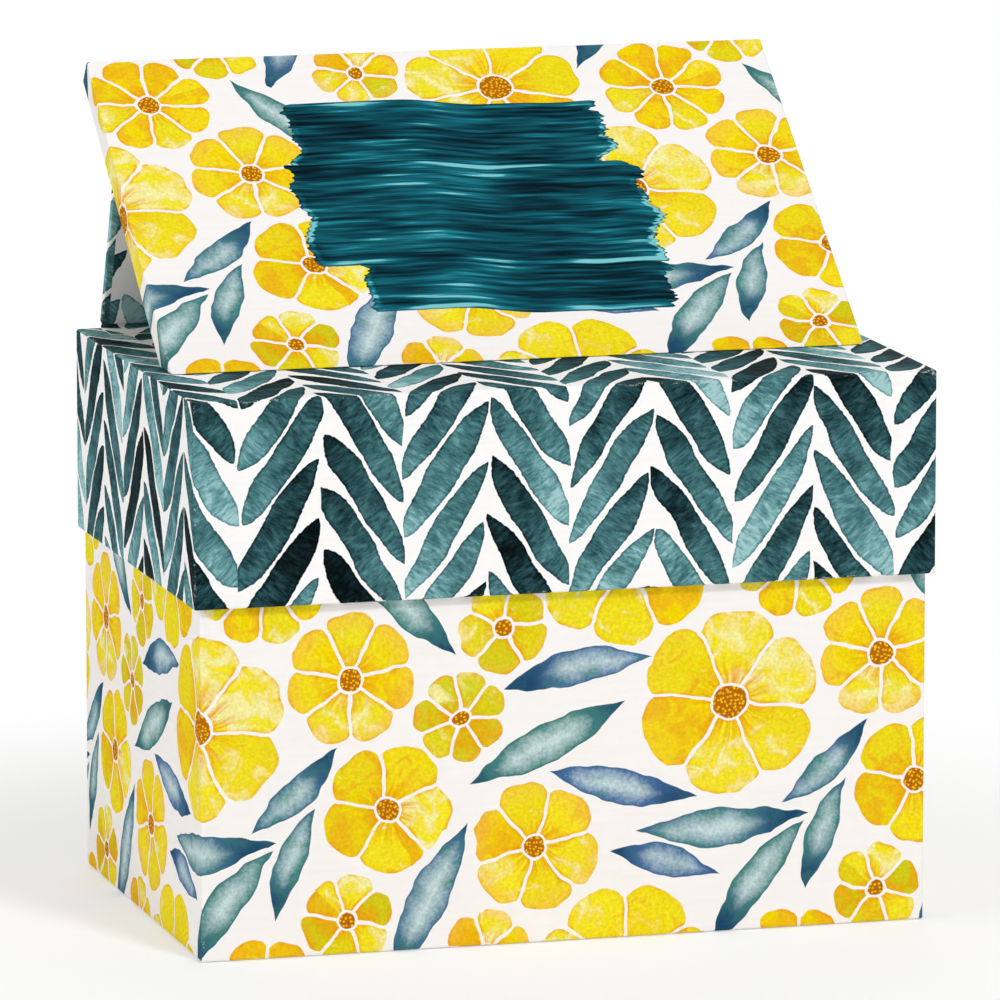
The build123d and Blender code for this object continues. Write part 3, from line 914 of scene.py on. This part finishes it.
def makeLidWrap():
    p = lidWrap
    low, high = boxCorners("lid_wrap")
    bm = startBlock(low, high)
    ends = [faceTowards(bm, (0, 0, -1)), faceTowards(bm, (0, 1, 0))]
    bmesh.ops.delete(bm, geom=ends, context="FACES")
    cutAcross(bm, "z", [high.z - p["topEdge"]])
    # the skirt's lower edge: round the board and up inside
    lower = edgesWhere(bm, lambda co: abs(co.z - low.z) < touch)
    for step in ("under", "inside"):
        verts, edges = extrudeEdges(bm, lower)
        for vert in verts:
            if step == "under":
                vert.co.x -= math.copysign(p["skirtWall"], vert.co.x)
                vert.co.y += p["skirtWall"] if vert.co.y < 0 else 0
            else:
                vert.co.z += p["turnIn"]
                vert.co.y -= p["mitre"] if vert.co.y > 0 else 0
        lower = [edge for edge in edges if len(edge.link_faces) == 1
                 and abs(edge.verts[0].co.z - edge.verts[1].co.z) < touch]

    # the back ends of the side boards, and the back edge of the top board
    def isPost(co):
        return abs(co.y - high.y) < touch and abs(co.x) > high.x - touch and co.z < high.z - p["topEdge"] / 2

    for vert in extrudeEdges(bm, edgesWhere(bm, isPost))[0]:
        vert.co.x -= math.copysign(p["skirtWall"], vert.co.x)
    topBack = edgesWhere(bm, lambda co: abs(co.y - high.y) < touch and co.z > high.z - touch)
    bmesh.ops.translate(bm, vec=(0, 0, -p["topEdge"]), verts=extrudeEdges(bm, topBack)[0])
    bmesh.ops.remove_doubles(bm, verts=bm.verts, dist=touch)
    bmesh.ops.recalc_face_normals(bm, faces=bm.faces)
    roundFolds(bm, p["foldRadius"])
    cutBesideFolds(bm, low, high)

    def unwrap(co, centre, normal):
        # the top lies on beyond the front skirt, and the side skirts and the back edge lie beyond the top
        toSide, toFront = high.x - abs(centre.x), centre.y - low.y
        sideways = toSide < toFront and abs(normal.y) < facing
        inset = high.x - abs(co.x) if sideways else co.y - low.y
        if normal.z > facing and centre.z > high.z - p["foldRadius"]:
            return (co.x, high.z + co.y - low.y)
        if centre.y > high.y - p["foldRadius"] and abs(normal.y) > facing:
            return (co.x, 2 * high.z + high.y - low.y - co.z)
        if normal.z < -facing:
            v = low.z - inset
        else:
            v = 2 * low.z - p["skirtWall"] - co.z if min(toSide, toFront) > p["skirtWall"] / 2 else co.z
        return (math.copysign(high.x + co.y - low.y, centre.x), v) if sideways else (co.x, v)

    markPrint(bm, unwrap, lambda co: onFold(co, low, high))
    newPiece("lidWrap", bm, "lid", dabPaper, ["lid_wrap"], "teal_paper")


makeLidWrap()
print("lid wrap")


# creased paper strips: the lid's hinge, the prop's foot and the panel's fold

def lengthAlong(path, place):
    # how far along the path its point nearest to the place lies
    found = []
    run = 0.0
    for start, end in zip(path, path[1:]):
        step = end - start
        share = min(max((place - start).dot(step) / step.length_squared, 0.0), 1.0)
        found.append(((start + step * share - place).length, run + step.length * share))
        run += step.length
    return min(found)[1]


def creasedStrip(name, path, halfWidth, bodies, bend, replaced, printStart, radius=0.1, rows=()):
    # path is the strip's outer face from end to end, as (y, z), rows are heights at which it is cut across,
    # and between the two points of bend it follows both bodies
    path = [Vector(point) for point in path]
    bm = bmesh.new()
    chain = [bm.verts.new((-halfWidth, *point)) for point in path]
    edges = [bm.edges.new(pair) for pair in zip(chain, chain[1:])]
    bmesh.ops.translate(bm, vec=(2 * halfWidth, 0, 0), verts=extrudeEdges(bm, edges)[0])
    if len(path) > 2:
        roundFolds(bm, radius, sharper=0.3)
    cutAcross(bm, "z", rows)
    cutAcross(bm, "x", (paper["foldRow"] - halfWidth, halfWidth - paper["foldRow"]))
    middle = (Vector(bend[0]) + Vector(bend[1])) / 2

    def unwrap(co, centre, normal):
        return (co.x, printStart + lengthAlong(path, co.yz))

    markPrint(bm, unwrap, lambda co: (co.yz - middle).length < paper["creaseWear"])
    piece = newPiece(name, bm, None, dabPaper, replaced, "teal_paper")
    start, end = [(0, y * mm, z * mm) for y, z in bend]
    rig.blend(piece, *bodies, start, end)


lidHinge = {
    "endGap": 0.3,  # the strip ends this far below the lid's top
    "bend": 0.6,  # it bends this far above and below the hinge line
    "rows": 6,  # rows of vertices on each side of the hinge line
    "rowGap": 0.15,
}


def makeHinge():
    p = lidHinge
    low, high = boxCorners("hinge_strip_lower")
    top = boxCorners("hinge_strip_upper")[1].z - p["endGap"]
    _, y, z = jointPlace["lid_hinge"]
    rows = [z + step * p["rowGap"] for step in range(-p["rows"], p["rows"] + 1)]
    creasedStrip("lidHingeStrip", [(high.y, low.z), (high.y, top)], high.x, ("box", "lid"),
                 ((y, z - p["bend"]), (y, z + p["bend"])), ["hinge_strip_lower", "hinge_strip_upper"], low.z,
                 rows=rows)


makeHinge()
print("lid hinge")


# the stand: a prop and a display panel, each drawn flat and then swung up into place

propBoard = {
    "length": 38.2,  # from crease to crease
    "gapAtCrease": 0.6,
    "front": -0.2,  # the cover's two faces, measured from the crease
    "back": 1.7,
    "turnIn": 8.0,
    "foldRadius": 0.4,
    "sheetRadius": 0.05,  # at the edges of the sheet that closes its back
    "coverPrint": 40.0,  # where on the print its two sheets start
    "sheetPrint": 120.0,
}
panelBoard = {
    "length": 101.0,
    "thickness": 6.4,
    "tail": 31.5,  # from the crease under the panel to its upper edge
    "creaseGap": 0.35,
    "turnIn": 12.0,
    "foldRadius": 0.55,
}

propLean = math.radians(jointRange["prop_fold"])
propUp = Vector((0, -math.cos(propLean), math.sin(propLean)))
propBack = Vector((0, math.sin(propLean), math.cos(propLean)))
panelTilt = math.radians(jointRange["panel_fold"] - jointRange["prop_fold"])
panelUp = Vector((0, math.cos(panelTilt), math.sin(panelTilt)))
panelOut = Vector((0, -math.sin(panelTilt), math.cos(panelTilt)))


def frameAt(place, up, out):
    # X across, Y along up and Z along out, in mm from the place
    turn = Matrix((Vector((1, 0, 0)), up, out)).transposed().to_4x4()
    return Matrix.Translation(Vector(place) * mm) @ turn @ Matrix.Scale(mm, 4)


def coverBoard(low, high, hollowSide, turnIn, radius, slant=0.0):
    # a sheet folded round a board, open on one side inside its turn-ins
    bm = startBlock(low, high)
    back = faceTowards(bm, (0, 0, hollowSide))
    for vert in back.verts:
        if vert.co.y < low[1] + touch:
            vert.co.y += slant
    openFace(bm, back, turnIn)
    roundFolds(bm, radius, 4)
    cutBesideFolds(bm, low, high)
    return bm


def markBoard(bm, low, high, start, thickness):
    def unwrap(co, centre, normal):
        # the face lies in the middle of the flat sheet, with the sides round it and the turn-ins beyond them
        down = max(0.0, high[2] - co.z) if abs(normal.z) < facing else 0.0
        u, v = co.x, co.y
        if centre.z < (low[2] + high[2]) / 2 and abs(normal.z) > facing:
            gaps = {"side": high[0] - abs(centre.x), "low": centre.y - low[1], "high": high[1] - centre.y}
            nearest = min(gaps, key=gaps.get)
            if nearest == "side":
                u = math.copysign(2 * high[0] + thickness - abs(co.x), co.x)
            else:
                v = 2 * low[1] - thickness - co.y if nearest == "low" else 2 * high[1] + thickness - co.y
        elif abs(normal.x) > 0.6:
            u = math.copysign(high[0] + down, normal.x)
        elif abs(normal.y) > 0.35:  # the panel's slanted foot too
            v = high[1] + down if normal.y > 0 else low[1] - down
        return (u, v + start)

    markPrint(bm, unwrap, lambda co: onFold(co, low, high))


def makeProp():
    p = propBoard
    place = frameAt(jointPlace["prop_fold"], propUp, propBack)
    halfWidth = boxCorners("prop_cover")[1].x
    low = (-halfWidth, p["gapAtCrease"], p["front"])
    high = (halfWidth, p["length"] - p["gapAtCrease"], p["back"])
    bm = coverBoard(low, high, 1, p["turnIn"], p["foldRadius"])
    markBoard(bm, low, high, p["coverPrint"], high[2] - low[2])
    newPiece("propCover", bm, "prop", dabPaper, ["prop_cover"], "teal_paper", place=place)
    # the sheet that closes the prop's back over the turn-ins is a solid of its own
    inset = Vector((p["turnIn"], p["turnIn"], 0))
    bm = startBlock(Vector((low[0], low[1], high[2] - paper["thickness"])) + inset, Vector(high) - inset)
    roundFolds(bm, p["sheetRadius"], 1)
    markBoard(bm, low, high, p["sheetPrint"], paper["thickness"])
    newPiece("propBackSheet", bm, "prop", dabPaper, ["prop_backing"], "teal_paper", isSheet=False,
             place=place)


def makePanel():
    p = panelBoard
    lip = (Vector(jointPlace["panel_fold"]) + panelOut * (p["thickness"] + p["creaseGap"])
           - panelUp * (p["length"] - p["tail"]))
    halfWidth = boxCorners("panel_cover")[1].x
    low, high = (-halfWidth, 0.0, -p["thickness"]), (halfWidth, p["length"], 0.0)
    slant = p["thickness"] / math.tan(panelTilt)  # the foot stands flat on the lid
    bm = coverBoard(low, high, -1, p["turnIn"], p["foldRadius"], slant)
    markBoard(bm, low, high, 0.0, p["thickness"])
    newPiece("panelCover", bm, "panel", panelPaper, ["panel_cover"], "floral_paper",
             place=frameAt(lip, panelUp, panelOut))


footStrip = {  # lengths from the prop's crease
    "leafEnd": 0.15,  # behind it, where the leaf that is glued to the lid starts to bend up
    "behind": 0.3,  # farthest point of the bend
    "above": (0.05, 0.15),  # back and up, where the strip turns into the prop
    "rise": 0.1,  # how far above the prop's own line the strip ends
    "bend": 0.25,  # it bends this far below and above the crease
    "foldRadius": 0.08,
    "printStart": 11.0,
}


def makeFootStrip():
    # glued to the lid, then up into the prop's lower end
    p = footStrip
    low, high = boxCorners("prop_hinge_leaf")
    _, y, z = jointPlace["prop_fold"]
    inProp = propUp * propBoard["gapAtCrease"]
    path = [(low.y, high.z), (y + p["leafEnd"], high.z), (y + p["behind"], z),
            (y + p["above"][0], z + p["above"][1]), (y + inProp.y, z + p["rise"] + inProp.z)]
    creasedStrip("propFootStrip", path, high.x, ("lid", "prop"), ((y, z - p["bend"]), (y, z + p["bend"])),
                 ["prop_hinge_leaf"], p["printStart"], p["foldRadius"])


foldStrip = {  # lengths from the panel's crease
    "inProp": 0.9,  # the strip starts this far down the prop
    "knee": 0.05,  # runs on this far past the crease
    "kneeProud": 0.12,
    "heel": 0.35,  # and turns this far up the panel onto its underside
    "heelProud": 0.15,
    "leafLength": 10.0,  # the leaf that is glued up the panel's underside
    "bend": (0.35, 0.45),  # it bends from this far down the prop to this far up the panel
    "foldRadius": 0.05,
    "printStart": 90.0,
}


def makeFoldStrip():
    # from the prop's upper end across the crease, then up the panel's underside
    p = foldStrip
    crease = Vector(jointPlace["panel_fold"])
    proud = propBack * p["kneeProud"]
    heel = crease + panelUp * p["heel"] + panelOut * p["heelProud"]
    path = [crease - propUp * p["inProp"] + proud, crease + propUp * p["knee"] + proud, heel,
            heel + panelUp * p["leafLength"]]
    bend = [crease - propUp * p["bend"][0], crease + panelUp * p["bend"][1]]
    creasedStrip("panelFoldStrip", [point.yz for point in path], boxCorners("panel_fold_leaf")[1].x,
                 ("prop", "panel"), [point.yz for point in bend], ["panel_fold_leaf"], p["printStart"],
                 p["foldRadius"])


makeProp()
makePanel()
makeFootStrip()
makeFoldStrip()
print("stand: prop, panel and fold strips")


# the frame's own pieces that stay: they only get their finish

carriedOver = {
    greyboard: ("front_wall_board", "back_wall_board", "left_wall_board", "right_wall_board", "base_board",
                "lid_top_board", "lid_front_board", "lid_left_board", "lid_right_board", "prop_board",
                "panel_front_ply", "panel_back_ply"),
    kraftTape: ("body_corner_tapes", "lid_corner_tapes"),
    liningPaper: ("base_sheet", "wall_lining", "floor_lining", "lid_skirt_lining", "lid_top_lining",
                  "panel_back_lining"),
    magnetPlate: ("lid_magnets", "foot_magnets"),
}
for material, nodes in carriedOver.items():
    for node in nodes:
        for slot in frame["nodes"][node].material_slots:
            slot.material = material
print("boards, linings, tapes and magnets")


# studio: pale floor, soft lamps and the camera, in metres and degrees

studio = {
    "azimuth": -15.80,
    "elevation": 9.77,
    "distance": 2.16,
    "aim": (0.00012, 0.0902),  # to the right and up from the origin, as the camera sees it
    "lens": 337.5,  # in mm, as the sensor's width
    "sensor": 36.0,
    "farthest": 50.0,
    "floor": "#fbfbfa",
    "floorSize": 12.0,
    "floorLift": 0.45,  # share of plain white mixed into the floor by the object, all white farther off
    "fade": (0.1, 0.26),  # distances from the origin between which the floor fades to white
    "ambient": 0.45,
    "lampAim": (0.0, 0.0, 0.09),
    "lamps": {  # place, diameter and power in watts
        "keyLamp": ((0.35, -1.35, 1.75), 0.32, 18.3),
        "frontLamp": ((0.5, -2.0, 0.35), 1.2, 3.9),
        "fillLamp": ((-1.85, -0.3, 0.7), 1.0, 9.5),
        "topLamp": ((0.1, 0.9, 1.5), 0.8, 1.5),
        "backLamp": ((0.5, 1.9, 0.7), 1.2, 6.0),
    },
}


def makeCamera():
    a, e = math.radians(studio["azimuth"]), math.radians(studio["elevation"])
    back = Vector((math.sin(a) * math.cos(e), -math.cos(a) * math.cos(e), math.sin(e)))
    right = Vector((math.cos(a), math.sin(a), 0.0))
    up = back.cross(right)
    target = right * studio["aim"][0] + up * studio["aim"][1]
    data = bpy.data.cameras.new("camera")
    data.lens = studio["lens"]
    data.sensor_width = studio["sensor"]
    data.clip_end = studio["farthest"]
    camera = bpy.data.objects.new("camera", data)
    scene.collection.objects.link(camera)
    turn = Matrix((right, up, back)).transposed().to_4x4()
    camera.matrix_world = Matrix.Translation(target + back * studio["distance"]) @ turn
    scene.camera = camera


def makeLamp(name, place, size, power):
    data = bpy.data.lights.new(name, "AREA")
    data.shape = "DISK"
    data.size = size
    data.energy = power
    lamp = bpy.data.objects.new(name, data)
    lamp.location = place
    lamp.rotation_euler = (Vector(studio["lampAim"]) - Vector(place)).to_track_quat("-Z", "Y").to_euler()
    scene.collection.objects.link(lamp)


def isSeen(add):
    # 1 for what the camera sees, also in or through a shiny piece, and 0 for light that falls on the object
    path = add("LightPath")
    seen = add("Math MAXIMUM", [path.outputs["Is Camera Ray"], path.outputs["Is Glossy Ray"]])
    return add("Math MAXIMUM", [seen, path.outputs["Is Transmission Ray"]])


def makeFloor():
    bm = bmesh.new()
    bmesh.ops.create_grid(bm, x_segments=1, y_segments=1, size=studio["floorSize"])
    mesh = bpy.data.meshes.new("floor")
    bm.to_mesh(mesh)
    bm.free()
    floor = bpy.data.objects.new("floor", mesh)
    scene.collection.objects.link(floor)
    # dull studio paper: it keeps the object's shadow near it and fades to plain white away from it
    material, add = newMaterial("paleStudioFloor")
    shader = add("BsdfPrincipled", {"Base Color": srgb(studio["floor"]), "Roughness": 0.9,
                                    "Specular IOR Level": 0.1})
    away = add("VectorMath LENGTH", [add("TexCoord").outputs["Object"]])
    white = add("MapRange SMOOTHSTEP", [away, *studio["fade"], studio["floorLift"], 1.0])
    white = add("Math MULTIPLY", [white, isSeen(add)])
    glow = add("Emission", [(1.0, 1.0, 1.0, 1.0), 1.0])
    add("OutputMaterial", [add("MixShader", [white, shader, glow])])
    mesh.materials.append(material)
    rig.stage(floor)


def makeWorld():
    # plain white where it is seen, and dimmer as light on the object
    world = bpy.data.worlds.new("studioWorld")
    scene.world = world
    world.use_nodes = True
    world.node_tree.nodes.clear()
    add = partial(addNode, world.node_tree)
    strength = add("MapRange", [isSeen(add), 0.0, 1.0, studio["ambient"], 1.0])
    add("OutputWorld", [add("Background", [(1.0, 1.0, 1.0, 1.0), strength])])


makeCamera()
for name, lamp in studio["lamps"].items():
    makeLamp(name, *lamp)
makeFloor()
makeWorld()
scene.view_settings.view_transform = "Standard"
print("studio")

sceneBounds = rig.bounds()
with open("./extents.json", "w") as out:
    json.dump({"cad": [list(c) for c in cadBounds], "scene": [list(c) for c in sceneBounds]}, out)
